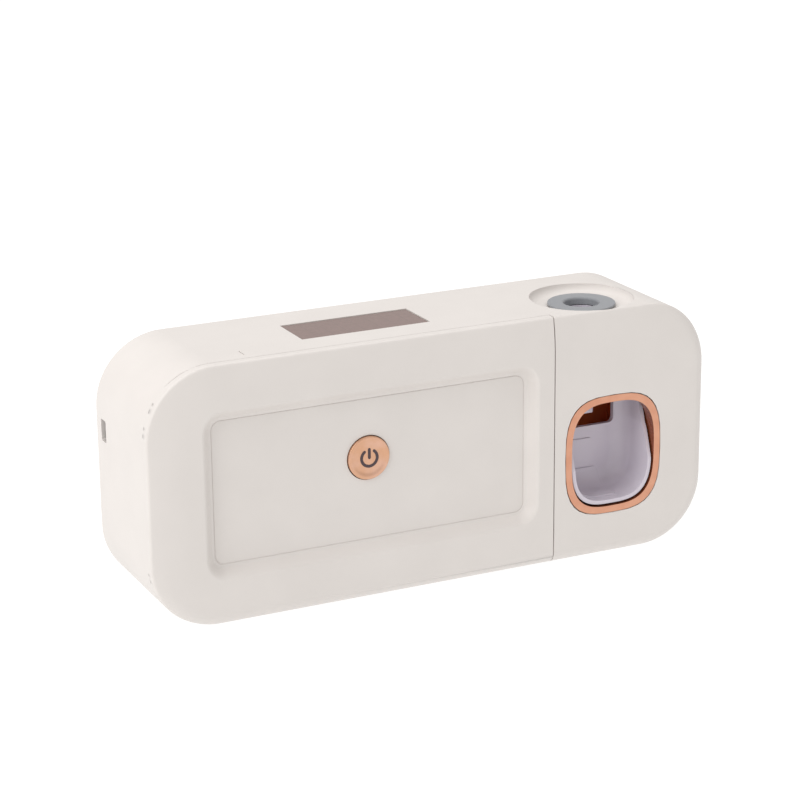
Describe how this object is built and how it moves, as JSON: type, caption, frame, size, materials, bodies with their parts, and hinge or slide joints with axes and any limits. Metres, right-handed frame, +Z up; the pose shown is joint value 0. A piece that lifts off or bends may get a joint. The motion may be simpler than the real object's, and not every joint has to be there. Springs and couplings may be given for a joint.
{
  "type": "toothbrush sterilizer",
  "caption": "Flat rounded wall box with a flip-up door over an ultraviolet toothbrush chamber, a solar panel on top and a push-lever toothpaste pump in a framed window.",
  "frame": {"origin": "on the underside, below the middle of the box's width and depth", "axes": "+X to the viewer's right along the box's width, +Y to the wall side (back), +Z up"},
  "size_m": [0.21, 0.05, 0.09],
  "materials": {
    "cream_abs": "satin cream ABS",
    "rose_gold_plating": "rose-gold plated plastic",
    "dark_copper_lining": "dark metallised lining",
    "white_lever_plastic": "satin white moulding",
    "grey_silicone": "matt grey silicone",
    "solar_cell": "brown amorphous cell under clear resin",
    "steel": "plain steel",
    "circuit_board": "green solder mask",
    "lamp_package": "white ceramic package",
    "clear_quartz": "clear",
    "black_plastic": "matt black moulding",
    "battery_foil": "foil pouch",
    "chamber_liner": "glossy light grey lining"
  },
  "bodies": {
    "casing": {"outer_shell": "cream_abs", "back_cover": "cream_abs", "back_screw_1": "steel", "back_screw_2": "steel", "back_screw_3": "steel", "back_screw_4": "steel", "hinge_pin_left": "steel", "hinge_pin_right": "steel", "chamber_liner": "chamber_liner", "brush_rack": "cream_abs", "catch_magnet_left": "steel", "catch_magnet_right": "steel", "uv_window": "clear_quartz", "uv_led_1": "lamp_package", "uv_led_2": "lamp_package", "uv_led_3": "lamp_package", "uv_board": "circuit_board", "main_board": "circuit_board", "usb_socket": "steel", "battery": "battery_foil", "solar_panel": "solar_cell", "window_ring": "rose_gold_plating", "dispenser_well": "dark_copper_lining", "well_screw_1": "steel", "well_screw_2": "steel", "well_screw_3": "steel", "lever_pin": "steel", "nozzle_seal": "grey_silicone", "pump_cylinder": "black_plastic", "pump_screw_1": "steel", "pump_screw_2": "steel", "inlet_valve": "grey_silicone", "return_spring": "steel"},
    "door": {"door_shell": "cream_abs", "door_magnet_left": "steel", "door_magnet_right": "steel", "switch_housing": "cream_abs", "switch_board": "circuit_board", "power_switch": "black_plastic"},
    "button": {"power_button": "rose_gold_plating"},
    "lever": {"pusher_lever": "white_lever_plastic"},
    "piston": {"pump_piston": "white_lever_plastic", "outlet_nozzle": "cream_abs"}
  },
  "joints": [
    {"name": "door_hinge", "type": "hinge", "parent": "casing", "child": "door", "pos_m": [0, -0.0153, 0.084], "axis": [-1, 0, 0], "range_deg": [0, 70]},
    {"name": "button_press", "type": "slide", "parent": "door", "child": "button", "axis": [0, 1, 0], "range_m": [0, 0.0006], "stiffness_N_per_m": 1500},
    {"name": "piston_slide", "type": "slide", "parent": "casing", "child": "piston", "axis": [0, 0, 1], "range_m": [0, 0.0031], "stiffness_N_per_m": 300, "springref_m": -0.0006, "deforming": ["return_spring"]},
    {"name": "lever_press", "type": "hinge", "parent": "casing", "child": "lever", "pos_m": [0.0673, -0.0175, 0.065], "axis": [1, 0, 0], "range_deg": [0, 14]}
  ],
  "couplings": [
    {"joint": "lever_press", "follows": "piston_slide", "rad_per_m": 78.74}
  ]
}
